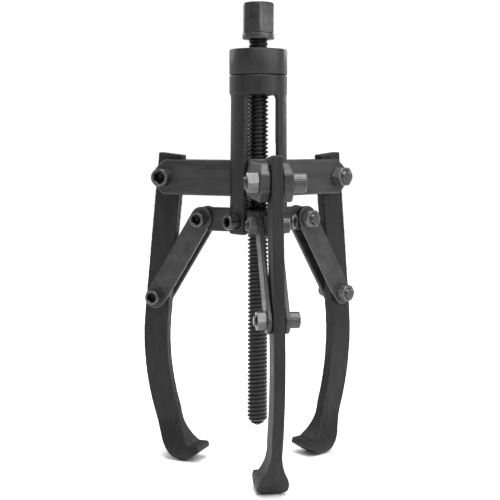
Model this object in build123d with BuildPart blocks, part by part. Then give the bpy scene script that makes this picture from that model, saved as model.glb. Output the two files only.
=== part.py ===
from build123d import *
from math import atan2, cos, degrees, hypot, radians, sin, tan
import os

# Self-centring three-jaw gear puller, every dimension in millimetres.
# Z = 0 is the plane that the three rounded feet stand on and the forcing screw lies on the Z axis.
# A sketch "on an arm" uses X for the distance from the screw axis and Y for the height.

# ---------------------------------------------------------------- driving dimensions
ARM_ANGLES = (-90, 30, 150)  # the three arms, jaws and link pairs
LEG_ANGLES = (-150, -30, 90)  # the three cage legs, midway between the arms

# heights above the standing plane
PIVOT_Z = 229.5  # jaw pivots, and the middle of the upper arms
LINK_TOP_Z = 196.8  # pins of the links in the lower hub
LINK_LOW_Z = 133.1  # pins of the links in the jaws
TIP_Z = 34.2
HEX_TOP_Z = 362.5
FLANGE_TOP_Z = 339.9
FLANGE_LOW_Z = 335.1
COLLAR_TOP_Z = 327.4
COLLAR_LOW_Z = 308.4
RING_TOP_Z = 307.9
RING_LOW_Z = 293.3
LEG_LOW_Z = 187.0

# distances of the pins from the screw axis
PIVOT_R = 74.5
LINK_TOP_R = 45.5
LINK_LOW_R = 84.7

# forcing screw, 5/8 inch with 8 threads per inch
PITCH = 25.4 / 8
SCREW_R = 25.4 * 5 / 16
THREAD_DEPTH = 1.5
ROOT_R = SCREW_R - THREAD_DEPTH
CREST_WIDTH = 1.2
ROOT_WIDTH = 0.675
NECK_R = 7.3
HEX_AF = 25.4 * 7 / 8
HEX_TURN = 26
FLANGE_R = 12.2
BORE_CLEARANCE = 0.05
HOLE_CLEARANCE = 0.1

# swivelling point in the end of the screw
POINT_R = 5.2
POINT_STEM_R = 3.0
POINT_STEM = 9.0

# adjusting collar and cage
COLLAR_R = 22.15
SPIGOT_R = 12.9
SPIGOT_LOW_Z = 294.6
SNAP_Z = 296.4
RECESS_TOP_Z = 297.1  # the snap ring sits in a recess under the cage ring
SNAP_THICKNESS = 1.0
SNAP_GROOVE_DEPTH = 0.9
SNAP_STAND_OUT = 1.6
SNAP_SIDE_PLAY = 0.05
SNAP_GAP = 5.0
SPIGOT_CLEARANCE = 0.08
LEG_TOP_R = 21.8
LEG_BOTTOM_R = 22.9
LEG_WALL = 3.1
LEG_WIDTH = 17.2
LEG_HOLE_CLEARANCE = 0.15
LEG_SCREW_LENGTH = 11.0
WINDOW_FILLET = 4.0

# upper hub: three forked arms
HUB_R = 18.0
HUB_RISE = 15.4
ARM_HALF_HEIGHT = 13.8
ARM_END_R = 83.2
ARM_END_BEVEL = 7.6
ARM_HALF_WIDTH = 12.3
ARM_ROOT_HALF_WIDTH = 9.7  # between the cage legs
ARM_ROOT_R = 16.6
ARM_TOP_HALF_WIDTH = 10.0
ARM_RIDGE = 3.0  # height of the widest line above the pivot
FORK_HALF_GAP = 4.8
FORK_ROOT_R = 53.0

# lower hub: three single arms
LOWER_HUB_R = 19.5
LOWER_HALF_HEIGHT = 9.25
SLIDE_CLEARANCE = 0.6

# jaws
JAW_THICKNESS = 8.5
JAW_WIDTH = 20.7
JAW_RISE = 18.6  # from the pivot to the top end
JAW_STRAIGHT = 110.0  # drop from the pivot to the start of the bend
JAW_BEND_R = 195.0
FOOT_HALF_WIDTH = 12.0
HOOK_Z = 13.2
HOOK_TIP_R = 46.0
HOOK_HEEL_R = 55.0
HOOK_TIP_HEIGHT = 4.6
TOE_R = 11.0  # round underside of the foot
TOE_CENTRE_R = 62.2
HEEL_R = 60.0  # between the bend and the toe
FLARE_TOP_Z = 34.0  # where the foot begins to widen
FLARE_WAIST_Z = 15.4
FLARE_WAIST = 5.6  # how far the foot stands out there on each side
FOOT_WIDEST_Z = 6.5
FOOT_CORNER = 4.8  # rounding of the foot's lower corners

# links
LINK_WIDTH = 17.8
LINK_THICKNESS = 3.6
LINK_GAP = 0.4
LINK_END_REACH = 1.0

# fasteners
PIVOT_BOLT_R = 25.4 * 3 / 16
PIVOT_HEAD_R = 7.15
PIVOT_HEAD = 9.5
PIVOT_SOCKET_AF = 25.4 * 5 / 16
PIVOT_NUT_AF = 25.4 * 9 / 16
PIVOT_NUT = 8.3
LINK_BOLT_R = 25.4 * 5 / 32
LINK_HEAD_R = 5.95
LINK_HEAD = 7.94
LINK_SOCKET_AF = 25.4 / 4
LINK_NUT_AF = 25.4 / 2
LINK_NUT = 6.7
BOLT_END = 1.8
OPEN_PIVOT_PLAY = 1.7  # extra radius in the lower arm, which the link pins need over the travel

# ---------------------------------------------------------------- worked out from the above
JAW_LEAN = degrees(atan2(LINK_LOW_R - PIVOT_R, PIVOT_Z - LINK_LOW_Z))
PIVOT_STACK = ARM_HALF_WIDTH
LINK_STACK = JAW_THICKNESS / 2 + LINK_GAP + LINK_THICKNESS

os.makedirs("parts", exist_ok=True)


def save(piece, name):
    """Label a finished sub-part and write it as parts/name.step."""
    piece.part.label = name
    export_step(piece.part, f"parts/{name}.step")


def arm_plane(angle, r=0.0, z=0.0):
    """Plane that holds the screw axis and the arm: X outward, Y up, origin at r, z."""
    a = radians(angle)
    return Plane(origin=(r * cos(a), r * sin(a), z), x_dir=(cos(a), sin(a), 0), z_dir=(sin(a), -cos(a), 0))


def pin_plane(angle, r, z, offset):
    """Plane across a pin: its Z axis points anticlockwise round the screw, towards the bolt head."""
    a = radians(angle)
    origin = (r * cos(a) - offset * sin(a), r * sin(a) + offset * cos(a), z)
    return Plane(origin=origin, x_dir=(cos(a), sin(a), 0), z_dir=(-sin(a), cos(a), 0))


def facing_plane(angle, r, z):
    """Plane that faces away from the screw axis at radius r and height z."""
    a = radians(angle)
    return Plane(origin=(r * cos(a), r * sin(a), z), x_dir=(-sin(a), cos(a), 0), z_dir=(cos(a), sin(a), 0))


def turned(part, angle):
    """Copy of a part made on the arm at 0 degrees, turned to another arm."""
    return part.rotate(Axis.Z, angle)


def cap_screw(radius, head_r, head, socket_af, length):
    """Socket-head cap screw: head from Z = 0 upward, shank of the given length downward."""
    with BuildPart() as screw:
        with BuildSketch():
            Circle(head_r)
        extrude(amount=head)
        rim = screw.edges().filter_by(GeomType.CIRCLE).sort_by(Axis.Z)[-1]
        fillet(rim, radius=head_r * 0.1)
        with BuildSketch(Plane.XY.offset(head)):
            RegularPolygon(radius=socket_af / 2, side_count=6, major_radius=False)
        extrude(amount=-head * 0.55, mode=Mode.SUBTRACT)
        with BuildSketch():
            Circle(radius)
        extrude(amount=-length)
        tip = screw.edges().filter_by(GeomType.CIRCLE).sort_by(Axis.Z)[0]
        chamfer(tip, length=radius * 0.18)
    return screw.part


def hex_nut(bore_r, across_flats, thickness):
    """Hexagon nut from Z = 0 downward, with both faces chamfered round."""
    corner_r = across_flats / 2 / cos(radians(30))
    bevel = corner_r * 0.09
    with BuildPart() as nut:
        with BuildSketch():
            RegularPolygon(radius=across_flats / 2, side_count=6, major_radius=False)
        extrude(amount=-thickness)
        with BuildSketch(Plane.XZ):
            with BuildLine():
                Polyline(
                    (0, 0),
                    (corner_r - bevel, 0),
                    (corner_r, -bevel * 0.6),
                    (corner_r, bevel * 0.6 - thickness),
                    (corner_r - bevel, -thickness),
                    (0, -thickness),
                    close=True,
                )
            make_face()
        revolve(axis=Axis.Z, mode=Mode.INTERSECT)
        with BuildSketch():
            Circle(bore_r)
        extrude(amount=-thickness, mode=Mode.SUBTRACT)
    return nut.part


# ---------------------------------------------------------------- forcing screw and its point
THREAD_LOW_Z = TIP_Z + 6.5
THREAD_TOP_Z = COLLAR_TOP_Z - 1.5
POINT_SHOULDER_Z = TIP_Z + 2.4

thread_points = []
flank = (PITCH - CREST_WIDTH - ROOT_WIDTH) / 2
for groove in range(int((THREAD_TOP_Z - THREAD_LOW_Z) / PITCH)):
    groove_z = THREAD_LOW_Z + groove * PITCH
    thread_points.append((SCREW_R, groove_z))
    thread_points.append((SCREW_R, groove_z + CREST_WIDTH))
    thread_points.append((ROOT_R, groove_z + CREST_WIDTH + flank))
    thread_points.append((ROOT_R, groove_z + CREST_WIDTH + flank + ROOT_WIDTH))

with BuildPart() as forcing_screw:
    # threaded rod, neck, flange and hexagon blank; the thread is drawn as grooves of its pitch and depth
    with BuildSketch(Plane.XZ):
        with BuildLine():
            Polyline(
                (0, POINT_SHOULDER_Z + BORE_CLEARANCE),
                (POINT_R, POINT_SHOULDER_Z + BORE_CLEARANCE),
                *thread_points,
                (ROOT_R, THREAD_TOP_Z),
                (NECK_R, THREAD_TOP_Z),
                (NECK_R, FLANGE_LOW_Z),
                (FLANGE_R - 0.5, FLANGE_LOW_Z),
                (FLANGE_R, FLANGE_LOW_Z + 0.5),
                (FLANGE_R, FLANGE_TOP_Z - 0.8),
                (FLANGE_R - 0.8, FLANGE_TOP_Z),
                (0, FLANGE_TOP_Z),
                close=True,
            )
        make_face()
    revolve(axis=Axis.Z)
    # hexagon drive with its corners chamfered round
    hex_corner_r = HEX_AF / 2 / cos(radians(30))
    with BuildPart(mode=Mode.PRIVATE) as drive:
        with BuildSketch(Plane.XY.offset(FLANGE_TOP_Z)):
            RegularPolygon(radius=HEX_AF / 2, side_count=6, major_radius=False, rotation=HEX_TURN)
        extrude(amount=HEX_TOP_Z - FLANGE_TOP_Z)
        with BuildSketch(Plane.XZ):
            with BuildLine():
                Polyline(
                    (0, FLANGE_TOP_Z),
                    (hex_corner_r, FLANGE_TOP_Z),
                    (hex_corner_r, HEX_TOP_Z - 1.2),
                    (hex_corner_r - 1.9, HEX_TOP_Z),
                    (0, HEX_TOP_Z),
                    close=True,
                )
            make_face()
        revolve(axis=Axis.Z, mode=Mode.INTERSECT)
    add(drive.part)
    # socket for the stem of the swivelling point
    with BuildSketch(Plane.XY.offset(POINT_SHOULDER_Z)):
        Circle(POINT_STEM_R + BORE_CLEARANCE)
    extrude(amount=POINT_STEM + 1, mode=Mode.SUBTRACT)
save(forcing_screw, "forcing_screw")

with BuildPart() as screw_point:
    # stem, shoulder and blunt cone
    with BuildSketch(Plane.XZ):
        with BuildLine():
            Polyline(
                (0, TIP_Z),
                (1.6, TIP_Z),
                (POINT_R, POINT_SHOULDER_Z - 0.3),
                (POINT_R, POINT_SHOULDER_Z),
                (POINT_STEM_R, POINT_SHOULDER_Z),
                (POINT_STEM_R, POINT_SHOULDER_Z + POINT_STEM),
                (0, POINT_SHOULDER_Z + POINT_STEM),
                close=True,
            )
        make_face()
    revolve(axis=Axis.Z)
save(screw_point, "screw_point")

# ---------------------------------------------------------------- adjusting collar
groove_low_z = SNAP_Z - SNAP_THICKNESS / 2 - SNAP_SIDE_PLAY
groove_top_z = SNAP_Z + SNAP_THICKNESS / 2 + SNAP_SIDE_PLAY

with BuildPart() as adjusting_collar:
    with BuildSketch(Plane.XZ):
        with BuildLine():
            Polyline(
                (SCREW_R + BORE_CLEARANCE, SPIGOT_LOW_Z),
                (SPIGOT_R, SPIGOT_LOW_Z),
                (SPIGOT_R, groove_low_z),
                (SPIGOT_R - SNAP_GROOVE_DEPTH, groove_low_z),
                (SPIGOT_R - SNAP_GROOVE_DEPTH, groove_top_z),
                (SPIGOT_R, groove_top_z),
                (SPIGOT_R, COLLAR_LOW_Z),
                (COLLAR_R - 0.4, COLLAR_LOW_Z),
                (COLLAR_R, COLLAR_LOW_Z + 0.4),
                (COLLAR_R, COLLAR_TOP_Z - 0.8),
                (COLLAR_R - 0.8, COLLAR_TOP_Z),
                (SCREW_R + 1.4, COLLAR_TOP_Z),
                (SCREW_R + BORE_CLEARANCE, COLLAR_TOP_Z - 1.35),
                close=True,
            )
        make_face()
    revolve(axis=Axis.Z)
save(adjusting_collar, "adjusting_collar")

with BuildPart() as retaining_ring:
    with BuildSketch(Plane.XY.offset(SNAP_Z - SNAP_THICKNESS / 2)):
        Circle(SPIGOT_R + SNAP_STAND_OUT)
        Circle(SPIGOT_R - SNAP_GROOVE_DEPTH + HOLE_CLEARANCE, mode=Mode.SUBTRACT)
        with Locations((SPIGOT_R, 0)):
            Rectangle(5 * SNAP_STAND_OUT, SNAP_GAP, mode=Mode.SUBTRACT)
    extrude(amount=SNAP_THICKNESS)
save(retaining_ring, "retaining_ring")

# ---------------------------------------------------------------- cage
with BuildPart() as cage:
    # thin, slightly flared wall that the legs are cut from
    with BuildSketch(Plane.XZ):
        with BuildLine():
            Polyline(
                (LEG_TOP_R - LEG_WALL, RING_LOW_Z),
                (LEG_TOP_R, RING_LOW_Z),
                (LEG_BOTTOM_R, LEG_LOW_Z + 0.6),
                (LEG_BOTTOM_R - 0.6, LEG_LOW_Z),
                (LEG_BOTTOM_R - LEG_WALL, LEG_LOW_Z),
                close=True,
            )
        make_face()
    revolve(axis=Axis.Z)
    # legs, widening into the ring with round window corners
    half = LEG_WIDTH / 2
    with BuildPart(mode=Mode.PRIVATE) as leg_blanks:
        for leg_angle in LEG_ANGLES:
            with BuildSketch(facing_plane(leg_angle, 0, 0)):
                with BuildLine():
                    Line((-half, RING_LOW_Z - WINDOW_FILLET), (-half, LEG_LOW_Z))
                    Line((-half, LEG_LOW_Z), (half, LEG_LOW_Z))
                    Line((half, LEG_LOW_Z), (half, RING_LOW_Z - WINDOW_FILLET))
                    RadiusArc(
                        (half, RING_LOW_Z - WINDOW_FILLET),
                        (half + WINDOW_FILLET, RING_LOW_Z),
                        WINDOW_FILLET,
                    )
                    Line((half + WINDOW_FILLET, RING_LOW_Z), (-half - WINDOW_FILLET, RING_LOW_Z))
                    RadiusArc(
                        (-half - WINDOW_FILLET, RING_LOW_Z),
                        (-half, RING_LOW_Z - WINDOW_FILLET),
                        WINDOW_FILLET,
                    )
                make_face()
            extrude(amount=LEG_BOTTOM_R + 5)
    add(leg_blanks.part, mode=Mode.INTERSECT)
    # top ring, with the bore for the collar's spigot and the recess for its snap ring
    with BuildSketch(Plane.XZ):
        with BuildLine():
            Polyline(
                (SPIGOT_R + SPIGOT_CLEARANCE, RECESS_TOP_Z),
                (LEG_TOP_R - LEG_WALL, RECESS_TOP_Z),
                (LEG_TOP_R - LEG_WALL, RING_LOW_Z),
                (LEG_TOP_R, RING_LOW_Z),
                (COLLAR_R, RING_LOW_Z + 1.5),
                (COLLAR_R, RING_TOP_Z - 0.4),
                (COLLAR_R - 0.4, RING_TOP_Z),
                (SPIGOT_R + SPIGOT_CLEARANCE, RING_TOP_Z),
                close=True,
            )
        make_face()
    revolve(axis=Axis.Z)
    # holes for the leg screws
    for leg_angle in LEG_ANGLES:
        with BuildSketch(facing_plane(leg_angle, 0, LINK_TOP_Z)):
            Circle(LINK_BOLT_R + LEG_HOLE_CLEARANCE)
        extrude(amount=LEG_BOTTOM_R + 5, mode=Mode.SUBTRACT)
save(cage, "cage")

# ---------------------------------------------------------------- upper hub
with BuildPart() as upper_arm:
    # side view, with both outer corners cut back
    with BuildSketch(arm_plane(0, 0, PIVOT_Z)):
        with BuildLine():
            Polyline(
                (0, -ARM_HALF_HEIGHT),
                (ARM_END_R - ARM_END_BEVEL, -ARM_HALF_HEIGHT),
                (ARM_END_R, -ARM_HALF_HEIGHT + ARM_END_BEVEL),
                (ARM_END_R, ARM_HALF_HEIGHT - ARM_END_BEVEL),
                (ARM_END_R - ARM_END_BEVEL, ARM_HALF_HEIGHT),
                (0, ARM_HALF_HEIGHT),
                close=True,
            )
        make_face()
        fillet(vertices().filter_by_position(Axis.X, ARM_END_R - 1, ARM_END_R + 1), radius=4)
    extrude(amount=ARM_HALF_WIDTH, both=True)
    # cross-section: drafted above the ridge, upright below it
    with BuildSketch(facing_plane(0, 0, PIVOT_Z)):
        with BuildLine():
            Polyline(
                (-ARM_HALF_WIDTH + 1, -ARM_HALF_HEIGHT),
                (ARM_HALF_WIDTH - 1, -ARM_HALF_HEIGHT),
                (ARM_HALF_WIDTH, -ARM_HALF_HEIGHT + 1),
                (ARM_HALF_WIDTH, ARM_RIDGE),
                (ARM_TOP_HALF_WIDTH, ARM_HALF_HEIGHT),
                (-ARM_TOP_HALF_WIDTH, ARM_HALF_HEIGHT),
                (-ARM_HALF_WIDTH, ARM_RIDGE),
                (-ARM_HALF_WIDTH, -ARM_HALF_HEIGHT + 1),
                close=True,
            )
        make_face()
    extrude(amount=ARM_END_R, mode=Mode.INTERSECT)
    # plan view: narrower where it passes between the cage legs, whose sides lie at 60 degrees to it
    root_step = (ARM_HALF_WIDTH - ARM_ROOT_HALF_WIDTH) / tan(radians(60))
    with BuildSketch(Plane.XY.offset(PIVOT_Z - ARM_HALF_HEIGHT)):
        with BuildLine():
            Polyline(
                (0, -ARM_ROOT_HALF_WIDTH),
                (ARM_ROOT_R, -ARM_ROOT_HALF_WIDTH),
                (ARM_ROOT_R + root_step, -ARM_HALF_WIDTH),
                (ARM_END_R, -ARM_HALF_WIDTH),
                (ARM_END_R, ARM_HALF_WIDTH),
                (ARM_ROOT_R + root_step, ARM_HALF_WIDTH),
                (ARM_ROOT_R, ARM_ROOT_HALF_WIDTH),
                (0, ARM_ROOT_HALF_WIDTH),
                close=True,
            )
        make_face()
    extrude(amount=2 * ARM_HALF_HEIGHT, mode=Mode.INTERSECT)
    # slot of the fork and the pivot hole through both ears
    slot_length = ARM_END_R - FORK_ROOT_R
    with BuildSketch(Plane.XY.offset(PIVOT_Z - ARM_HALF_HEIGHT)):
        with Locations((FORK_ROOT_R + FORK_HALF_GAP, 0)):
            Circle(FORK_HALF_GAP)
            Rectangle(slot_length, 2 * FORK_HALF_GAP, align=(Align.MIN, Align.CENTER))
    extrude(amount=2 * ARM_HALF_HEIGHT, mode=Mode.SUBTRACT)
    with BuildSketch(arm_plane(0, PIVOT_R, PIVOT_Z)):
        Circle(PIVOT_BOLT_R + HOLE_CLEARANCE)
    extrude(amount=ARM_HALF_WIDTH, both=True, mode=Mode.SUBTRACT)

with BuildPart() as upper_hub:
    with BuildSketch(Plane.XY.offset(PIVOT_Z - ARM_HALF_HEIGHT)):
        Circle(HUB_R)
    extrude(amount=ARM_HALF_HEIGHT + HUB_RISE)
    rims = upper_hub.edges().filter_by(GeomType.CIRCLE)
    chamfer(rims, length=0.8)
    for arm_angle in ARM_ANGLES:
        add(turned(upper_arm.part, arm_angle))
    with BuildSketch(Plane.XY.offset(PIVOT_Z - ARM_HALF_HEIGHT)):
        Circle(SCREW_R + BORE_CLEARANCE)
    extrude(amount=ARM_HALF_HEIGHT + HUB_RISE, mode=Mode.SUBTRACT)
save(upper_hub, "upper_hub")

# ---------------------------------------------------------------- lower hub
with BuildPart() as lower_arm:
    with BuildSketch(arm_plane(0, 0, LINK_TOP_Z)):
        with Locations((LINK_TOP_R, 0)):
            Circle(LOWER_HALF_HEIGHT)
            Rectangle(LINK_TOP_R, 2 * LOWER_HALF_HEIGHT, align=(Align.MAX, Align.CENTER))
            Circle(LINK_BOLT_R + OPEN_PIVOT_PLAY, mode=Mode.SUBTRACT)
    extrude(amount=JAW_THICKNESS / 2, both=True)

with BuildPart() as lower_hub:
    with BuildSketch(Plane.XY.offset(LINK_TOP_Z - LOWER_HALF_HEIGHT)):
        Circle(LOWER_HUB_R)
    extrude(amount=2 * LOWER_HALF_HEIGHT)
    rims = lower_hub.edges().filter_by(GeomType.CIRCLE)
    chamfer(rims, length=0.8)
    for arm_angle in ARM_ANGLES:
        add(turned(lower_arm.part, arm_angle))
    with BuildSketch(Plane.XY.offset(LINK_TOP_Z - LOWER_HALF_HEIGHT)):
        Circle(SCREW_R + SLIDE_CLEARANCE)
    extrude(amount=2 * LOWER_HALF_HEIGHT, mode=Mode.SUBTRACT)
    for leg_angle in LEG_ANGLES:
        with BuildSketch(facing_plane(leg_angle, SCREW_R + 1.5, LINK_TOP_Z)):
            Circle(LINK_BOLT_R + HOLE_CLEARANCE)
        extrude(amount=LOWER_HUB_R, mode=Mode.SUBTRACT)
save(lower_hub, "lower_hub")

# ---------------------------------------------------------------- jaws
BEND_START = (PIVOT_R + JAW_STRAIGHT * tan(radians(JAW_LEAN)), PIVOT_Z - JAW_STRAIGHT)
BEND_CENTRE = (
    BEND_START[0] - JAW_BEND_R * cos(radians(JAW_LEAN)),
    BEND_START[1] - JAW_BEND_R * sin(radians(JAW_LEAN)),
)
OUTER_BEND_R = JAW_BEND_R + JAW_WIDTH / 2
INNER_BEND_R = JAW_BEND_R - JAW_WIDTH / 2
INNER_BEND_END = -18.0  # direction on the bend, in degrees, where the throat begins
TOE_SLOPE = 33.0  # rise of the underside towards the hook tip


def on_circle(centre, radius, angle):
    """Point on a circle at an angle in degrees from the outward direction."""
    return (centre[0] + radius * cos(radians(angle)), centre[1] + radius * sin(radians(angle)))


def heel_circle_centre(bend_centre, bend_r, toe_centre, toe_r, heel_r):
    """Centre of the arc that leaves the outside of the bend and runs into the toe, tangent to both."""
    across = toe_centre[0] - bend_centre[0]
    down = toe_centre[1] - bend_centre[1]
    distance = hypot(across, down)
    to_bend = bend_r - heel_r
    to_toe = heel_r - toe_r
    along = (to_bend**2 - to_toe**2 + distance**2) / (2 * distance)
    aside = (to_bend**2 - along**2) ** 0.5
    return (
        bend_centre[0] + (along * across - aside * down) / distance,
        bend_centre[1] + (along * down + aside * across) / distance,
    )


def direction(start, end):
    """Direction from one point to another, in degrees from outward."""
    return degrees(atan2(end[1] - start[1], end[0] - start[0]))


TOP_OUTER = (
    PIVOT_R - JAW_RISE * sin(radians(JAW_LEAN)) + JAW_WIDTH / 2 * cos(radians(JAW_LEAN)),
    PIVOT_Z + JAW_RISE * cos(radians(JAW_LEAN)) + JAW_WIDTH / 2 * sin(radians(JAW_LEAN)),
)
TOP_INNER = (
    TOP_OUTER[0] - JAW_WIDTH * cos(radians(JAW_LEAN)),
    TOP_OUTER[1] - JAW_WIDTH * sin(radians(JAW_LEAN)),
)
TOE_CENTRE = (TOE_CENTRE_R, TOE_R)
HEEL_CENTRE = heel_circle_centre(BEND_CENTRE, OUTER_BEND_R, TOE_CENTRE, TOE_R, HEEL_R)
OUTER_BEND_END = direction(BEND_CENTRE, HEEL_CENTRE)
HEEL_END = direction(HEEL_CENTRE, TOE_CENTRE)
OUTER_START = on_circle(BEND_CENTRE, OUTER_BEND_R, JAW_LEAN)
OUTER_MIDDLE = on_circle(BEND_CENTRE, OUTER_BEND_R, (JAW_LEAN + OUTER_BEND_END) / 2)
OUTER_END = on_circle(BEND_CENTRE, OUTER_BEND_R, OUTER_BEND_END)
INNER_START = on_circle(BEND_CENTRE, INNER_BEND_R, JAW_LEAN)
INNER_MIDDLE = on_circle(BEND_CENTRE, INNER_BEND_R, (JAW_LEAN + INNER_BEND_END) / 2)
INNER_END = on_circle(BEND_CENTRE, INNER_BEND_R, INNER_BEND_END)
HEEL_MIDDLE = on_circle(HEEL_CENTRE, HEEL_R, (OUTER_BEND_END + HEEL_END) / 2)
TOE_OUTER = on_circle(TOE_CENTRE, TOE_R, HEEL_END)
TOE_LOWEST = on_circle(TOE_CENTRE, TOE_R, -90)
TOE_INNER = on_circle(TOE_CENTRE, TOE_R, -90 - TOE_SLOPE)
HOOK_HEEL = (HOOK_HEEL_R, HOOK_Z)
THROAT_MIDDLE = (
    (INNER_END[0] + HOOK_HEEL_R) / 2 + 1.9,
    (INNER_END[1] + HOOK_Z) / 2 - 1.7,
)


def jaw_outline():
    """Side view of a jaw, from the top end down the outside, round the foot and back up."""
    Line(TOP_INNER, TOP_OUTER)
    Line(TOP_OUTER, OUTER_START)
    ThreePointArc(OUTER_START, OUTER_MIDDLE, OUTER_END)
    ThreePointArc(OUTER_END, HEEL_MIDDLE, TOE_OUTER)
    ThreePointArc(TOE_OUTER, TOE_LOWEST, TOE_INNER)
    Line(TOE_INNER, (HOOK_TIP_R, HOOK_Z - HOOK_TIP_HEIGHT))
    Line((HOOK_TIP_R, HOOK_Z - HOOK_TIP_HEIGHT), (HOOK_TIP_R + 0.4, HOOK_Z))
    Line((HOOK_TIP_R + 0.4, HOOK_Z), HOOK_HEEL)
    ThreePointArc(HOOK_HEEL, THROAT_MIDDLE, INNER_END)
    ThreePointArc(INNER_END, INNER_MIDDLE, INNER_START)
    Line(INNER_START, TOP_INNER)


with BuildPart() as foot:
    # the jaw's side view at full foot width, kept only where the spade-shaped front view is
    with BuildSketch(arm_plane(0)):
        with BuildLine():
            jaw_outline()
        make_face()
    extrude(amount=FOOT_HALF_WIDTH, both=True)
    with BuildSketch(facing_plane(0, 0, 0)):
        with BuildLine():
            half = JAW_THICKNESS / 2
            waist = half + FLARE_WAIST
            for side in (-1, 1):
                Line((0, FLARE_TOP_Z), (side * half, FLARE_TOP_Z))
                ThreePointArc(
                    (side * half, FLARE_TOP_Z),
                    (side * (half + 0.3 * FLARE_WAIST), (FLARE_TOP_Z + FLARE_WAIST_Z) / 2),
                    (side * waist, FLARE_WAIST_Z),
                )
                ThreePointArc(
                    (side * waist, FLARE_WAIST_Z),
                    (side * (FOOT_HALF_WIDTH - 0.7), FOOT_WIDEST_Z + FOOT_CORNER),
                    (side * FOOT_HALF_WIDTH, FOOT_WIDEST_Z),
                )
                ThreePointArc(
                    (side * FOOT_HALF_WIDTH, FOOT_WIDEST_Z),
                    (side * (FOOT_HALF_WIDTH - 0.3 * FOOT_CORNER), 0.3 * FOOT_WIDEST_Z),
                    (side * (FOOT_HALF_WIDTH - FOOT_CORNER), 0),
                )
                Line((side * (FOOT_HALF_WIDTH - FOOT_CORNER), 0), (0, 0))
        make_face()
    extrude(amount=LINK_LOW_R + 10, mode=Mode.INTERSECT)

with BuildPart() as jaw:
    with BuildSketch(arm_plane(0)):
        with BuildLine():
            jaw_outline()
        make_face()
    extrude(amount=JAW_THICKNESS / 2, both=True)
    add(foot.part)
    for pin_r, pin_z, hole_r in (
        (PIVOT_R, PIVOT_Z, PIVOT_BOLT_R + BORE_CLEARANCE),
        (LINK_LOW_R, LINK_LOW_Z, LINK_BOLT_R + BORE_CLEARANCE),
    ):
        with BuildSketch(arm_plane(0, pin_r, pin_z)):
            Circle(hole_r)
        extrude(amount=JAW_THICKNESS, both=True, mode=Mode.SUBTRACT)

for number, arm_angle in enumerate(ARM_ANGLES, start=1):
    with BuildPart() as placed_jaw:
        add(turned(jaw.part, arm_angle))
    save(placed_jaw, f"jaw_{number}")

# ---------------------------------------------------------------- links
LINK_CENTRES = hypot(LINK_LOW_R - LINK_TOP_R, LINK_TOP_Z - LINK_LOW_Z)
LINK_TILT = degrees(atan2(LINK_LOW_Z - LINK_TOP_Z, LINK_LOW_R - LINK_TOP_R))
LINK_MIDDLE = ((LINK_LOW_R + LINK_TOP_R) / 2, (LINK_LOW_Z + LINK_TOP_Z) / 2)

with BuildPart() as link:
    with BuildSketch():
        SlotCenterToCenter(LINK_CENTRES + 2 * LINK_END_REACH, LINK_WIDTH, rotation=LINK_TILT)
        with Locations(
            (LINK_TOP_R - LINK_MIDDLE[0], LINK_TOP_Z - LINK_MIDDLE[1]),
            (LINK_LOW_R - LINK_MIDDLE[0], LINK_LOW_Z - LINK_MIDDLE[1]),
        ):
            Circle(LINK_BOLT_R + HOLE_CLEARANCE, mode=Mode.SUBTRACT)
    extrude(amount=LINK_THICKNESS / 2, both=True)
    flat_faces = link.faces().filter_by(Axis.Z)
    outer_edges = [face.outer_wire().edges() for face in flat_faces]
    chamfer(outer_edges[0] + outer_edges[1], length=0.5)

link_offset = JAW_THICKNESS / 2 + LINK_GAP + LINK_THICKNESS / 2
for number, arm_angle in enumerate(ARM_ANGLES, start=1):
    side_plane = arm_plane(arm_angle, LINK_MIDDLE[0], LINK_MIDDLE[1])
    for side, shift in (("head_side", -link_offset), ("nut_side", link_offset)):
        with BuildPart() as placed_link:
            add(link.part.moved(side_plane.offset(shift).location))
        save(placed_link, f"link_{number}_{side}")

# ---------------------------------------------------------------- fasteners
pivot_bolt = cap_screw(
    PIVOT_BOLT_R, PIVOT_HEAD_R, PIVOT_HEAD, PIVOT_SOCKET_AF, 2 * PIVOT_STACK + PIVOT_NUT + BOLT_END
)
pivot_nut = hex_nut(PIVOT_BOLT_R + BORE_CLEARANCE, PIVOT_NUT_AF, PIVOT_NUT)
link_bolt = cap_screw(
    LINK_BOLT_R, LINK_HEAD_R, LINK_HEAD, LINK_SOCKET_AF, 2 * LINK_STACK + LINK_NUT + BOLT_END
)
link_nut = hex_nut(LINK_BOLT_R + BORE_CLEARANCE, LINK_NUT_AF, LINK_NUT)

FASTENED_JOINTS = (
    # name, radius, height, half of the clamped stack, bolt, nut
    ("jaw_pivot", PIVOT_R, PIVOT_Z, PIVOT_STACK, pivot_bolt, pivot_nut),
    ("link_upper", LINK_TOP_R, LINK_TOP_Z, LINK_STACK, link_bolt, link_nut),
    ("link_lower", LINK_LOW_R, LINK_LOW_Z, LINK_STACK, link_bolt, link_nut),
)

for joint_name, pin_r, pin_z, stack, bolt, nut in FASTENED_JOINTS:
    for number, arm_angle in enumerate(ARM_ANGLES, start=1):
        with BuildPart() as placed_bolt:
            add(bolt.moved(pin_plane(arm_angle, pin_r, pin_z, stack).location))
        save(placed_bolt, f"{joint_name}_bolt_{number}")
        with BuildPart() as placed_nut:
            add(nut.moved(pin_plane(arm_angle, pin_r, pin_z, -stack).location))
        save(placed_nut, f"{joint_name}_nut_{number}")

leg_screw = cap_screw(LINK_BOLT_R, LINK_HEAD_R, LINK_HEAD, LINK_SOCKET_AF, LEG_SCREW_LENGTH)
for number, leg_angle in enumerate(LEG_ANGLES, start=1):
    with BuildPart() as placed_screw:
        add(leg_screw.moved(facing_plane(leg_angle, LEG_BOTTOM_R, LINK_TOP_Z).location))
    save(placed_screw, f"leg_screw_{number}")
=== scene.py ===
import math
import bmesh
import bpy
import numpy as np
from mathutils import Matrix, Vector, noise


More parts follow.
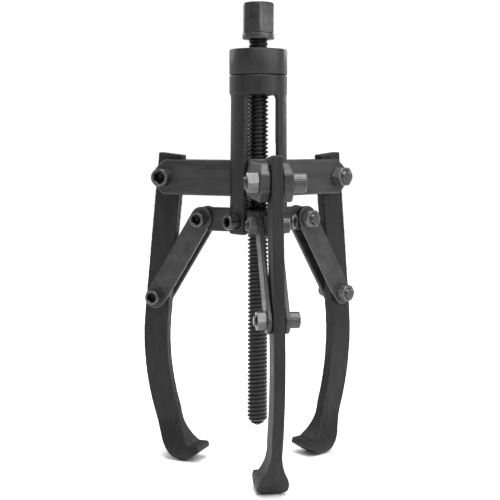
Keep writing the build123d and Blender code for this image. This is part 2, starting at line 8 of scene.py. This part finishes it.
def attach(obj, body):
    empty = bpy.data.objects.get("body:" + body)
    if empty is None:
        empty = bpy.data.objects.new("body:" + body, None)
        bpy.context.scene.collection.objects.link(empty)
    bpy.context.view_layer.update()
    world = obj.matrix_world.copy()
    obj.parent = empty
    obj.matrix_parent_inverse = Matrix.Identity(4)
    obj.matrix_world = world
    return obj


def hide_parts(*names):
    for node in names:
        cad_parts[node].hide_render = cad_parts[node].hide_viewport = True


# Three-jaw gear puller: finer meshes and black-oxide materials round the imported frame.
# Blender works in metres; numbers here are millimetres and degrees unless a comment says otherwise,
# and are turned into metres by MM where they are used.

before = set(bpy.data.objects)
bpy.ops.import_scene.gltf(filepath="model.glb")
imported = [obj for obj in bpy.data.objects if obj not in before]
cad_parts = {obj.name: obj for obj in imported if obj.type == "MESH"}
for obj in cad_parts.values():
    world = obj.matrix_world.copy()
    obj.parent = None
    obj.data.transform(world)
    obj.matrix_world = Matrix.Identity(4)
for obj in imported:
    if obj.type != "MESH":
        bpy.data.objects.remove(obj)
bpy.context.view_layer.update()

MM = 0.001
TAU = 2 * math.pi

# ---------------------------------------------------------------- dimensions of the object
ARM_ANGLES = (-90, 30, 150)
LEG_ANGLES = (-150, -30, 90)
PIVOT_R, PIVOT_Z, PIVOT_STACK = 74.5, 229.5, 12.3
LINK_TOP_R, LINK_TOP_Z = 45.5, 196.8
LINK_LOW_R, LINK_LOW_Z = 84.7, 133.1
LINK_STACK = 8.25
LEG_FACE_R = 22.9
PIVOT_BOLT = dict(radius=4.7625, head_r=7.15, head=9.5, socket=7.9375, pitch=1.5875)
PIVOT_NUT = dict(bore=4.7, across=14.2875, thick=8.3)
LINK_BOLT = dict(radius=3.96875, head_r=5.95, head=7.94, socket=6.35, pitch=1.411)
LINK_NUT = dict(bore=3.9, across=12.7, thick=6.7)
BOLT_END = 1.8
LEG_SCREW_LENGTH = 11.0
BOLT_THREADED = 3.4  # length of thread shown at the tip
PITCH = 3.175
SCREW_R, THREAD_DEPTH = 7.93, 1.5
THREAD_LOW_Z, THREAD_TOP_Z = 38.2, 325.9
NECK_R = 7.3
FLANGE_R, FLANGE_LOW_Z, FLANGE_TOP_Z = 12.2, 335.1, 339.9
HEX_AF, HEX_TURN, HEX_TOP_Z = 22.225, 26, 362.5
COLLAR_R, COLLAR_LOW_Z, COLLAR_TOP_Z = 22.15, 308.4, 327.4
COLLAR_BORE_R, COLLAR_MOUTH_R = 8.1, 9.4
SPIGOT_R, SPIGOT_LOW_Z = 12.9, 294.6
SNAP_Z, SNAP_HALF_WIDTH, SNAP_DEPTH = 296.4, 0.55, 0.9


# ---------------------------------------------------------------- materials
# edges paler than the coat: part wear, part painted highlight laid along every convex edge
WEAR_AND_GLINT_FROM, WEAR_AND_GLINT_FULL = 0.52, 0.58  # pointiness where wear begins and where it is complete
WEAR_AND_GLINT_PATCH = 2.2  # size of the patches that break up the worn edges
WORN_SMOOTHER = 0.08  # roughness lost at a worn edge
SMOOTHER, ROUGHER = 0.12, 0.14  # how far the roughness strays from its middle value
PIT_SIZE = 2.6
RING_SPACING = 0.42
RELIEF_DEPTH, RELIEF_STRENGTH = 0.05, 0.5
DARKEST, PALEST, GRAIN_PALE = 0.5, 2.1, 3.0  # brightness of the coat against its base
GRAIN_SHARE = 0.35


def steel(name, base, rough, grain, mottle, worn_and_glint, gloss, pits=0.0, rings=0.0, stretch=(1, 1, 1)):
    """Black-oxide steel: mottled dark coat, fine grain, edges paler by wear and painted highlight,
    pits or rings.

    base and worn_and_glint are the brightness of the coat and of an edge that is part wear,
    part painted highlight; grain and mottle are sizes, pits and rings are heights against the
    grain, and a stretch below 1 draws the mottling out along that axis.
    """
    m = bpy.data.materials.new(name)
    m.use_nodes = True
    nt = m.node_tree
    nodes, link = nt.nodes, nt.links.new
    shader = nodes["Principled BSDF"]
    shader.inputs["Specular IOR Level"].default_value = gloss
    coords = nodes.new("ShaderNodeTexCoord")

    drawn = nodes.new("ShaderNodeMapping")
    drawn.inputs["Scale"].default_value = stretch
    link(coords.outputs["Object"], drawn.inputs["Vector"])

    def cloud(size, detail, roughness=0.6, along=False):
        n = nodes.new("ShaderNodeTexNoise")
        n.inputs["Scale"].default_value = 1 / (size * MM)
        n.inputs["Detail"].default_value = detail
        n.inputs["Roughness"].default_value = roughness
        link(drawn.outputs["Vector"] if along else coords.outputs["Object"], n.inputs["Vector"])
        return n.outputs["Fac"]

    def ramp(source, low, high, a, b):
        n = nodes.new("ShaderNodeMapRange")
        n.inputs["From Min"].default_value = low
        n.inputs["From Max"].default_value = high
        n.inputs["To Min"].default_value = a
        n.inputs["To Max"].default_value = b
        link(source, n.inputs["Value"])
        return n.outputs["Result"]

    def mix(fac, a, b):
        n = nodes.new("ShaderNodeMix")
        n.data_type = "RGBA"
        link(fac, n.inputs["Factor"])
        for socket, value in ((n.inputs[6], a), (n.inputs[7], b)):
            if isinstance(value, tuple):
                socket.default_value = (*value, 1)
            else:
                link(value, socket)
        return n.outputs[2]

    def maths(kind, a, b):
        n = nodes.new("ShaderNodeMath")
        n.operation = kind
        for socket, value in zip(n.inputs, (a, b)):
            if isinstance(value, float):
                socket.default_value = value
            else:
                link(value, socket)
        return n.outputs[0]

    blotch = ramp(cloud(mottle, 4, along=True), 0.35, 0.65, 0, 1)
    fine = ramp(cloud(grain, 3, 0.7), 0.3, 0.7, 0, 1)
    coat = mix(blotch, (base * DARKEST,) * 3, (base * PALEST,) * 3)
    coat = mix(maths("MULTIPLY", fine, GRAIN_SHARE), coat, (base * GRAIN_PALE,) * 3)
    # paler edges, part wear and part painted highlight, broken up into patches
    point = nodes.new("ShaderNodeNewGeometry").outputs["Pointiness"]
    wear_and_glint = ramp(point, WEAR_AND_GLINT_FROM, WEAR_AND_GLINT_FULL, 0, 1)
    wear_and_glint = maths("MULTIPLY", wear_and_glint, ramp(cloud(WEAR_AND_GLINT_PATCH, 3), 0.3, 0.6, 0.25, 1))
    coat = mix(wear_and_glint, coat, (worn_and_glint, worn_and_glint, worn_and_glint * 1.02))
    link(coat, shader.inputs["Base Color"])
    # roughness has a finer mottling of its own and drops at worn edges
    sheen = cloud(mottle * 0.45, 3, along=True)
    uneven = ramp(sheen, 0.3, 0.7, rough - SMOOTHER, rough + ROUGHER)
    smoothed = maths("MULTIPLY", wear_and_glint, WORN_SMOOTHER)
    link(maths("SUBTRACT", uneven, smoothed), shader.inputs["Roughness"])
    # relief
    height = fine
    if pits:
        hollow = ramp(cloud(PIT_SIZE, 2), 0.28, 0.45, 0, 1)
        height = maths("ADD", height, maths("MULTIPLY", hollow, pits))
    if rings:
        wave = nodes.new("ShaderNodeTexWave")
        wave.bands_direction = "Z"
        wave.inputs["Scale"].default_value = 1 / (RING_SPACING * MM) / TAU
        wave.inputs["Distortion"].default_value = 0.6
        wave.inputs["Detail"].default_value = 2
        link(coords.outputs["Object"], wave.inputs["Vector"])
        height = maths("ADD", height, maths("MULTIPLY", wave.outputs["Fac"], rings))
    bump = nodes.new("ShaderNodeBump")
    bump.inputs["Strength"].default_value = RELIEF_STRENGTH
    bump.inputs["Distance"].default_value = RELIEF_DEPTH * MM
    link(height, bump.inputs["Height"])
    link(bump.outputs["Normal"], shader.inputs["Normal"])
    return m


# the numbers are base, rough, grain, mottle, worn_and_glint (paler edge: wear and painted
# highlight), gloss
FORGED = steel(
    "forged_arm_black_oxide", 0.009, 0.44, 0.35, 9, 0.055, 0.43, pits=1.6, stretch=(0.35, 0.35, 1.6)
)
JAWS = steel(
    "forged_jaw_black_oxide", 0.004, 0.54, 0.35, 8, 0.045, 0.27, pits=1.6, stretch=(1.5, 1.5, 0.3)
)
TURNED = steel(
    "turned_black_oxide", 0.0045, 0.42, 0.30, 9, 0.035, 0.33, rings=0.9, stretch=(1, 1, 0.4)
)
LINKS = steel("link_black_oxide", 0.012, 0.42, 0.28, 7, 0.05, 0.4, pits=0.6)
SCREW = steel("screw_black_oxide", 0.004, 0.36, 0.25, 8, 0.02, 0.36, rings=0.3)
DRIVE = steel("drive_black_oxide", 0.005, 0.36, 0.25, 6, 0.045, 0.55)
# the fasteners' pale edges are wear and the painted highlight ring on the head rims
FASTENER = steel("fastener_black_oxide", 0.007, 0.27, 0.22, 5, 0.085, 0.6)
# painted shade: a near-black coat laid inside the cap-screw sockets, where shade falls in the
# recess
PAINTED_SOCKET_SHADE = steel("socket_painted_shade", 0.0015, 0.42, 0.25, 3, 0.006, 0.24)


# ---------------------------------------------------------------- mesh tools
def piece(name, mesh, material, body, slot, *nodes):
    """Put a finished mesh in the scene as a piece that stands for the given nodes.

    A pair of materials goes with faces that were given material_index 0 and 1.
    """
    if mesh.materials:
        mesh.materials.clear()
    for coat in material if isinstance(material, tuple) else (material,):
        mesh.materials.append(coat)
    obj = bpy.data.objects.new(name, mesh)
    bpy.context.scene.collection.objects.link(obj)
    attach(obj, body)
    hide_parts(*nodes)


def applied(obj):
    """The object's mesh with its modifiers applied; the object is removed."""
    bpy.context.view_layer.update()
    graph = bpy.context.evaluated_depsgraph_get()
    mesh = bpy.data.meshes.new_from_object(obj.evaluated_get(graph))
    bpy.data.objects.remove(obj)
    return mesh


def scratch(mesh):
    """An object for the mesh, to be used up by applied()."""
    obj = bpy.data.objects.new("scratch", mesh)
    bpy.context.scene.collection.objects.link(obj)
    return obj


def sharp_shaded(mesh, degrees):
    """Smooth shading, with edges sharper than the given angle kept crisp."""
    mesh.polygons.foreach_set("use_smooth", np.ones(len(mesh.polygons), dtype=bool))
    mesh.set_sharp_from_angle(angle=math.radians(degrees))
    mesh.update()
    return mesh


def points_of(mesh):
    co = np.empty(len(mesh.vertices) * 3)
    mesh.vertices.foreach_get("co", co)
    return co.reshape(-1, 3)


def set_points(mesh, co):
    mesh.vertices.foreach_set("co", co.astype(np.float32).ravel())
    mesh.update()


UNEVEN_PER_METRE = 160  # how close together the dips of a forging are


def forged(node, voxel, rounding, wobble, seed):
    """Forging with rolled edges: the node's shape remeshed, relaxed and made slightly uneven.

    rounding is a number of smoothing passes, wobble is the depth of the deepest dip.
    """
    obj = scratch(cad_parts[node].data.copy())
    remesh = obj.modifiers.new("skin", "REMESH")
    remesh.mode = "VOXEL"
    remesh.voxel_size = voxel * MM
    relax = obj.modifiers.new("relax", "SMOOTH")
    relax.factor = 0.5
    relax.iterations = rounding
    mesh = applied(obj)
    co = points_of(mesh)
    normals = np.empty(len(mesh.vertices) * 3)
    mesh.vertex_normals.foreach_get("vector", normals)
    normals = normals.reshape(-1, 3)
    shift = Vector((seed, seed * 0.7, 0))
    spots = [Vector(p) * UNEVEN_PER_METRE + shift for p in co]
    depth = np.array([noise.fractal(spot, 0.8, 2.1, 3) for spot in spots])
    depth = np.clip(depth * 0.5 + 0.5, 0, 1) * wobble * MM
    set_points(mesh, co - normals * depth[:, None])
    mesh.polygons.foreach_set("use_smooth", np.ones(len(mesh.polygons), dtype=bool))
    return mesh


def row_points(rows, count):
    """Points of the (radius, height) rows, each row a turn round Z in count steps.

    A radius or a height is one number or an array with a value for each step.
    """
    angle = np.arange(count) * TAU / count
    cos, sin = np.cos(angle), np.sin(angle)
    points = []
    for radius, height in rows:
        radius = np.broadcast_to(np.asarray(radius, dtype=float), (count,))
        height = np.broadcast_to(np.asarray(height, dtype=float), (count,))
        points.append(np.stack([radius * cos, radius * sin, height], axis=1) * MM)
    return np.concatenate(points).tolist()


def rings_mesh(name, rows, count):
    """Solid turned body: rows joined in turn, the first and the last one capped."""
    last = len(rows) - 1
    faces = []
    for i in range(last):
        a, b = i * count, (i + 1) * count
        for j in range(count):
            k = (j + 1) % count
            faces.append((a + j, a + k, b + k, b + j))
    faces.append(tuple(reversed(range(count))))
    faces.append(tuple(last * count + j for j in range(count)))
    mesh = bpy.data.meshes.new(name)
    mesh.from_pydata(row_points(rows, count), [], faces)
    mesh.validate()
    return mesh


def ring_body(name, rows, count):
    """Hollow turned body: rows joined in turn, and the last one to the first."""
    n = len(rows)
    faces = []
    for i in range(n):
        a, b = i * count, ((i + 1) % n) * count
        for j in range(count):
            k = (j + 1) % count
            faces.append((a + j, b + j, b + k, a + k))
    mesh = bpy.data.meshes.new(name)
    mesh.from_pydata(row_points(rows, count), [], faces)
    fix_normals(mesh)
    return mesh


def fix_normals(mesh):
    """Turn the mesh's faces outward."""
    bm = bmesh.new()
    bm.from_mesh(mesh)
    bmesh.ops.recalc_face_normals(bm, faces=bm.faces)
    bm.to_mesh(mesh)
    bm.free()


def hexagon(across, count, turn=0.0, corner=0.985):
    """Radius of a hexagon at each step round Z, with its corners slightly broken."""
    angle = np.arange(count) * TAU / count - math.radians(turn)
    local = (angle + TAU / 12) % (TAU / 6) - TAU / 12  # 0 at a corner
    radius = across / 2 / np.cos(TAU / 12 - np.abs(local))
    return np.minimum(radius, across / 2 / math.cos(TAU / 12) * corner)


def triangle_wave(x):
    """1 at whole numbers, 0 halfway between them."""
    return np.abs((x % 1) - 0.5) * 2


# ---------------------------------------------------------------- fasteners
THREAD_STEPS = 8  # rows to each pitch of a fastener's thread


def cap_screw(name, radius, head_r, head, socket, pitch, length):
    """Socket-head cap screw, head from Z = 0 upward: knurled side, hexagon socket, threaded end.

    Faces of the socket get material_index 1, which carries the painted shade of the recess.
    """
    count, ridges = 144, 36
    angle = np.arange(count) * TAU / count
    knurl = head_r - 0.22 * triangle_wave(angle / TAU * ridges)
    inner = hexagon(socket, count, 0, 1.0)
    rows = []
    # thread from the tip upward
    tip = -length
    depth = pitch * 0.5
    tip_r = radius - depth * 1.25
    rows.append((tip_r, tip))
    for i in range(int(BOLT_THREADED / pitch * THREAD_STEPS) + 1):
        z = tip + 0.12 + i * pitch / THREAD_STEPS
        groove = depth * (1 - triangle_wave(z / pitch + angle / TAU)) * 0.9
        chamfer = tip_r + (z - tip) * 1.1
        rows.append((np.minimum(radius - groove, chamfer), z))
    rows.append((radius, tip + BOLT_THREADED + 0.6))
    rows.append((radius, -0.25))
    rows.append((radius + 0.25, 0.0))
    # head
    rows.append((head_r - 0.5, 0.0))
    rows.append((head_r - 0.1, 0.35))
    rows.append((knurl, 0.75))
    rows.append((knurl, head - 1.35))
    rows.append((head_r - 0.05, head - 1.0))
    rows.append((head_r - 0.12, head - 0.55))
    rows.append((head_r - 0.36, head - 0.18))
    rows.append((head_r - 0.75, head))
    # socket, with a countersunk mouth and a drilled floor
    countersink = float(inner.max()) + 0.45
    rows.append((countersink, head))
    rows.append((inner, head - 0.9))
    rows.append((inner, head * 0.32))
    rows.append((inner * 0.86, head * 0.31))
    rows.append((0.05, head * 0.31 - socket * 0.2))
    mesh = rings_mesh(name, rows, count)
    # faces inside the socket take index 1, the painted shade of the recess
    low, high = 0.1 * head * MM, (head - 0.02) * MM
    for face in mesh.polygons:
        within = math.hypot(*face.center[:2]) < countersink * MM
        face.material_index = int(within and low < face.center.z < high)
    return sharp_shaded(mesh, 35)


NUT_CHAMFER = 28
NUT_MOUTH, NUT_MOUTH_DEPTH = 0.7, 0.75  # countersink of a nut's bore


def hex_nut(name, bore, across, thick):
    """Hexagon nut from Z = 0 downward, both faces chamfered round, bore countersunk."""
    count = 144
    side = hexagon(across, count)
    face_r = across / 2 * 0.955
    drop = (side - face_r) * math.tan(math.radians(NUT_CHAMFER))
    rows = [
        (bore, -NUT_MOUTH_DEPTH),
        (bore + NUT_MOUTH, 0.0),
        (face_r, 0.0),
        (side, -drop),
        (side, -thick + drop),
        (face_r, -thick),
        (bore + NUT_MOUTH, -thick),
        (bore, -thick + NUT_MOUTH_DEPTH),
    ]
    return sharp_shaded(ring_body(name, rows, count), 24)


def pin_matrix(arm, r, z, offset):
    """Across a pin: Z points anticlockwise round the screw, X outward."""
    a = math.radians(arm)
    out = Vector((math.cos(a), math.sin(a), 0))
    along = Vector((-math.sin(a), math.cos(a), 0))
    up = along.cross(out)
    place = Matrix((out, up, along)).transposed().to_4x4()
    place.translation = (out * r + along * offset) * MM + Vector((0, 0, z * MM))
    return place


def facing_matrix(angle, r, z):
    """Facing away from the screw axis: Z points outward."""
    a = math.radians(angle)
    out = Vector((math.cos(a), math.sin(a), 0))
    along = Vector((-math.sin(a), math.cos(a), 0))
    place = Matrix((along, out.cross(along), out)).transposed().to_4x4()
    place.translation = out * r * MM + Vector((0, 0, z * MM))
    return place


def placed(mesh, place, turn=0.0):
    copy = mesh.copy()
    copy.transform(place @ Matrix.Rotation(math.radians(turn), 4, "Z"))
    copy.update()
    return copy


pivot_bolt = cap_screw(
    "pivot_bolt", **PIVOT_BOLT, length=2 * PIVOT_STACK + PIVOT_NUT["thick"] + BOLT_END
)
link_bolt = cap_screw(
    "link_bolt", **LINK_BOLT, length=2 * LINK_STACK + LINK_NUT["thick"] + BOLT_END
)
leg_screw = cap_screw("leg_screw", **LINK_BOLT, length=LEG_SCREW_LENGTH)
pivot_nut = hex_nut("pivot_nut", **PIVOT_NUT)
link_nut = hex_nut("link_nut", **LINK_NUT)

SOCKET_TURNS = (12, 41, 27)  # how far each arm's screws are done up
LEG_SCREW_TURN = 20
for kind, r, z, stack, bolt, nut, body in (
    ("jaw_pivot", PIVOT_R, PIVOT_Z, PIVOT_STACK, pivot_bolt, pivot_nut, "upper_hub"),
    ("link_upper", LINK_TOP_R, LINK_TOP_Z, LINK_STACK, link_bolt, link_nut, "links_"),
    ("link_lower", LINK_LOW_R, LINK_LOW_Z, LINK_STACK, link_bolt, link_nut, "links_"),
):
    for number, arm in enumerate(ARM_ANGLES, start=1):
        rider = body + str(number) if body.endswith("_") else body
        bolt_node = f"{kind}_bolt_{number}"
        nut_node = f"{kind}_nut_{number}"
        turn = SOCKET_TURNS[number - 1]
        bolt_mesh = placed(bolt, pin_matrix(arm, r, z, stack), turn)
        piece(bolt_node + "_v", bolt_mesh, (FASTENER, PAINTED_SOCKET_SHADE), rider, "fastener_steel", bolt_node)
        nut_mesh = placed(nut, pin_matrix(arm, r, z, -stack))
        piece(nut_node + "_v", nut_mesh, FASTENER, rider, "fastener_steel", nut_node)

for number, angle in enumerate(LEG_ANGLES, start=1):
    node = f"leg_screw_{number}"
    mesh = placed(leg_screw, facing_matrix(angle, LEG_FACE_R, LINK_TOP_Z), LEG_SCREW_TURN * number)
    piece(node + "_v", mesh, (FASTENER, PAINTED_SOCKET_SHADE), "cage", "fastener_steel", node)


# ---------------------------------------------------------------- forcing screw
THREAD_SHAPE = (  # share of the pitch, share of the depth cut away
    (0.0, 0.06),
    (0.05, 0.0),
    (0.30, 0.0),
    (0.35, 0.06),
    (0.50, 0.9),
    (0.56, 1.0),
    (0.79, 1.0),
    (0.85, 0.9),
)


def thread_mesh(name, low, high, radius, depth, pitch):
    """Single-start right-hand thread: rows follow the helix, ends cut flat and filled."""
    count = 64
    turns = int((high - low) / pitch) + 3
    base = low - pitch * 1.5
    verts = []
    for t in range(turns):
        for share, cut in THREAD_SHAPE:
            for j in range(count):
                a = j * TAU / count
                z = base + (t + share + j / count) * pitch
                r = min(radius - depth * cut, radius - depth + max(0.0, z - low) * 0.9)
                verts.append((r * math.cos(a) * MM, r * math.sin(a) * MM, z * MM))
    step = len(THREAD_SHAPE)
    rows = turns * step
    faces = []
    for i in range(rows - 1):
        for j in range(count):
            a = i * count + j
            if j < count - 1:
                faces.append((a, a + 1, a + count + 1, a + count))
            elif i + 1 + step < rows:
                faces.append((a, (i + step) * count, (i + 1 + step) * count, a + count))
    mesh = bpy.data.meshes.new(name)
    mesh.from_pydata(verts, [], faces)
    bm = bmesh.new()
    bm.from_mesh(mesh)
    for height, direction in ((low, -1), (high, 1)):
        bmesh.ops.bisect_plane(
            bm,
            geom=bm.verts[:] + bm.edges[:] + bm.faces[:],
            plane_co=(0, 0, height * MM),
            plane_no=(0, 0, direction),
            clear_outer=True,
        )
    bmesh.ops.remove_doubles(bm, verts=bm.verts, dist=0.002 * MM)
    rims = [e for e in bm.edges if e.is_boundary]
    bmesh.ops.holes_fill(bm, edges=rims, sides=0)
    bmesh.ops.recalc_face_normals(bm, faces=bm.faces)
    bm.to_mesh(mesh)
    bm.free()
    return mesh


def drive_mesh(name):
    """Grooved neck, flange, and hexagon with a turned top and a centre hole."""
    count = 144
    side = hexagon(HEX_AF, count, HEX_TURN, 0.99)
    face_r = HEX_AF / 2 * 0.97
    drop = (side - face_r) * 0.62
    angle = np.arange(count) / count
    rows = [(NECK_R - 0.6, THREAD_TOP_Z - 3)]
    steps = 24
    for i in range(steps + 1):
        z = THREAD_TOP_Z - 2.6 + (FLANGE_LOW_Z - THREAD_TOP_Z + 1.6) * i / steps
        groove = np.clip(triangle_wave(z / PITCH - angle) * 1.6 - 0.35, 0, 1)
        rows.append((NECK_R - 0.75 * groove, z))
    rows += [
        (NECK_R - 0.2, FLANGE_LOW_Z - 0.5),
        (NECK_R + 0.6, FLANGE_LOW_Z),
        (FLANGE_R - 0.55, FLANGE_LOW_Z),
        (FLANGE_R - 0.15, FLANGE_LOW_Z + 0.15),
        (FLANGE_R, FLANGE_LOW_Z + 0.55),
        (FLANGE_R, FLANGE_TOP_Z - 0.8),
        (FLANGE_R - 0.2, FLANGE_TOP_Z - 0.3),
        (FLANGE_R - 0.7, FLANGE_TOP_Z),
        (np.minimum(side, FLANGE_R - 0.75), FLANGE_TOP_Z + 0.02),
        (side - 0.05, FLANGE_TOP_Z + 0.25),
        (side, FLANGE_TOP_Z + 0.7),
        (side, HEX_TOP_Z - drop - 0.35),
        (side - 0.12, HEX_TOP_Z - drop - 0.08),
        (face_r + 0.1, HEX_TOP_Z - 0.1),
        (face_r - 0.25, HEX_TOP_Z),
        (4.0, HEX_TOP_Z),
        (3.1, HEX_TOP_Z - 1.2),
        (0.2, HEX_TOP_Z - 3.0),
    ]
    return sharp_shaded(rings_mesh(name, rows, count), 26)


def joined(name, *meshes):
    """One mesh of all the given ones."""
    bm = bmesh.new()
    for mesh in meshes:
        bm.from_mesh(mesh)
    out = bpy.data.meshes.new(name)
    bm.to_mesh(out)
    bm.free()
    return out


thread = sharp_shaded(
    thread_mesh("thread", THREAD_LOW_Z, THREAD_TOP_Z, SCREW_R, THREAD_DEPTH, PITCH), 35
)
screw_mesh = joined("forcing_screw_v", thread, drive_mesh("drive"))
for face in screw_mesh.polygons:
    face.material_index = int(face.center.z > FLANGE_LOW_Z * MM)
piece(
    "forcing_screw_v", screw_mesh, (SCREW, DRIVE), "forcing_screw", "screw_steel", "forcing_screw"
)


# ---------------------------------------------------------------- collar, ring and point
collar_profile = (
    (COLLAR_BORE_R, SPIGOT_LOW_Z),
    (SPIGOT_R - 0.3, SPIGOT_LOW_Z),
    (SPIGOT_R, SPIGOT_LOW_Z + 0.3),
    (SPIGOT_R, SNAP_Z - SNAP_HALF_WIDTH),
    (SPIGOT_R - SNAP_DEPTH, SNAP_Z - SNAP_HALF_WIDTH),
    (SPIGOT_R - SNAP_DEPTH, SNAP_Z + SNAP_HALF_WIDTH),
    (SPIGOT_R, SNAP_Z + SNAP_HALF_WIDTH),
    (SPIGOT_R, COLLAR_LOW_Z),
    (COLLAR_R - 0.45, COLLAR_LOW_Z),
    (COLLAR_R - 0.12, COLLAR_LOW_Z + 0.13),
    (COLLAR_R, COLLAR_LOW_Z + 0.5),
    (COLLAR_R, COLLAR_TOP_Z - 0.9),
    (COLLAR_R - 0.2, COLLAR_TOP_Z - 0.35),
    (COLLAR_R - 0.8, COLLAR_TOP_Z),
    (COLLAR_MOUTH_R, COLLAR_TOP_Z),
    (COLLAR_BORE_R, COLLAR_TOP_Z - 1.3),
)
collar_mesh = sharp_shaded(ring_body("adjusting_collar_v", collar_profile, 144), 28)
piece("adjusting_collar_v", collar_mesh, TURNED, "collar", "turned_steel", "adjusting_collar")

for node, material in (("retaining_ring", FASTENER), ("screw_point", SCREW)):
    for material_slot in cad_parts[node].material_slots:
        material_slot.material = material


# ---------------------------------------------------------------- forgings, cage and links
cage = forged("cage", 0.55, 3, 0.04, 3.0)
piece("cage_v", cage, TURNED, "cage", "turned_steel", "cage")
upper_hub = forged("upper_hub", 0.6, 3, 0.06, 9.0)
piece("upper_hub_v", upper_hub, FORGED, "upper_hub", "forged_steel", "upper_hub")
lower_hub = forged("lower_hub", 0.6, 4, 0.06, 5.0)
piece("lower_hub_v", lower_hub, FORGED, "cage", "forged_steel", "lower_hub")
for number in (1, 2, 3):
    jaw = forged(f"jaw_{number}", 0.55, 10, 0.09, 11.0 * number)
    piece(f"jaw_{number}_v", jaw, JAWS, f"jaw_{number}", "forged_steel", f"jaw_{number}")
    for side in ("head_side", "nut_side"):
        node = f"link_{number}_{side}"
        strap = forged(node, 0.5, 4, 0.04, 7.0 * number + len(side))
        piece(node + "_v", strap, LINKS, f"links_{number}", "link_steel", node)


# ---------------------------------------------------------------- floor, light, camera
# from here on, lengths are metres
FLOOR_RADIUS, FLOOR_DROP = 9.0, 0.0002
FLOOR_WHITE, FLOOR_ROUGH = 0.93, 0.9
SKY_LIT, SKY_SEEN = 0.42, 1.1  # strength as a light and as the background
SUN_STRENGTH, SUN_WIDTH, SUN_TOWARDS = 2.5, 50, (-0.12, 0.5, -0.9)
CAMERA_LENS, CAMERA_SENSOR = 75.6, 36  # millimetres
CAMERA_PLACE, CAMERA_TILT = (-0.1320, -0.8027, 0.2647), (83.61, -0.12, -8.9)

paint = bpy.data.materials.new("floor_white")
paint.use_nodes = True
paint_shader = paint.node_tree.nodes["Principled BSDF"]
paint_shader.inputs["Base Color"].default_value = (FLOOR_WHITE, FLOOR_WHITE, FLOOR_WHITE, 1)
paint_shader.inputs["Roughness"].default_value = FLOOR_ROUGH

floor_mesh = bpy.data.meshes.new("floor")
bm = bmesh.new()
bmesh.ops.create_circle(bm, cap_ends=True, segments=96, radius=FLOOR_RADIUS)
bm.to_mesh(floor_mesh)
bm.free()
floor_mesh.materials.append(paint)
floor = bpy.data.objects.new("floor", floor_mesh)
bpy.context.scene.collection.objects.link(floor)
floor.location = (0, 0, -FLOOR_DROP)

world = bpy.data.worlds.new("studio")
world.use_nodes = True
sky = world.node_tree
lit = sky.nodes["Background"]
lit.inputs["Color"].default_value = (1, 1, 1, 1)
lit.inputs["Strength"].default_value = SKY_LIT
seen = sky.nodes.new("ShaderNodeBackground")
seen.inputs["Color"].default_value = (1, 1, 1, 1)
seen.inputs["Strength"].default_value = SKY_SEEN
choice = sky.nodes.new("ShaderNodeMixShader")
sky.links.new(sky.nodes.new("ShaderNodeLightPath").outputs["Is Camera Ray"], choice.inputs[0])
sky.links.new(lit.outputs[0], choice.inputs[1])
sky.links.new(seen.outputs[0], choice.inputs[2])
sky.links.new(choice.outputs[0], sky.nodes["World Output"].inputs["Surface"])
bpy.context.scene.world = world
bpy.context.scene.view_settings.view_transform = "Standard"

sun_data = bpy.data.lights.new("daylight", "SUN")
sun_data.energy = SUN_STRENGTH
sun_data.angle = math.radians(SUN_WIDTH)
sun = bpy.data.objects.new("daylight", sun_data)
sun.rotation_euler = Vector(SUN_TOWARDS).to_track_quat("-Z", "Y").to_euler()
bpy.context.scene.collection.objects.link(sun)


def softbox(name, place, target, size, watts):
    """Rectangular light at a place, facing a target, that the camera does not see."""
    data = bpy.data.lights.new(name, "AREA")
    data.shape = "RECTANGLE"
    data.size, data.size_y = size
    data.energy = watts
    obj = bpy.data.objects.new(name, data)
    obj.location = place
    obj.rotation_euler = (Vector(target) - Vector(place)).to_track_quat("-Z", "Y").to_euler()
    obj.visible_camera = False
    bpy.context.scene.collection.objects.link(obj)


MIDDLE = (0, 0, 0.2)
softbox("overhead", (0.0, -0.15, 1.3), MIDDLE, (0.8, 0.8), 15)
softbox("key", (0.5, -1.05, 0.85), MIDDLE, (0.5, 0.6), 4.5)
softbox("side", (0.45, -0.32, 0.44), (0, 0, 0.34), (0.22, 0.22), 1.1)
softbox("behind_left", (-0.75, 0.95, 0.8), MIDDLE, (0.6, 0.6), 6)
softbox("behind_right", (0.85, 0.8, 0.6), MIDDLE, (0.5, 0.5), 3)

camera_data = bpy.data.cameras.new("camera")
camera_data.lens = CAMERA_LENS
camera_data.sensor_width = CAMERA_SENSOR
camera = bpy.data.objects.new("camera", camera_data)
camera.location = CAMERA_PLACE
camera.rotation_euler = [math.radians(angle) for angle in CAMERA_TILT]
bpy.context.scene.collection.objects.link(camera)
bpy.context.scene.camera = camera
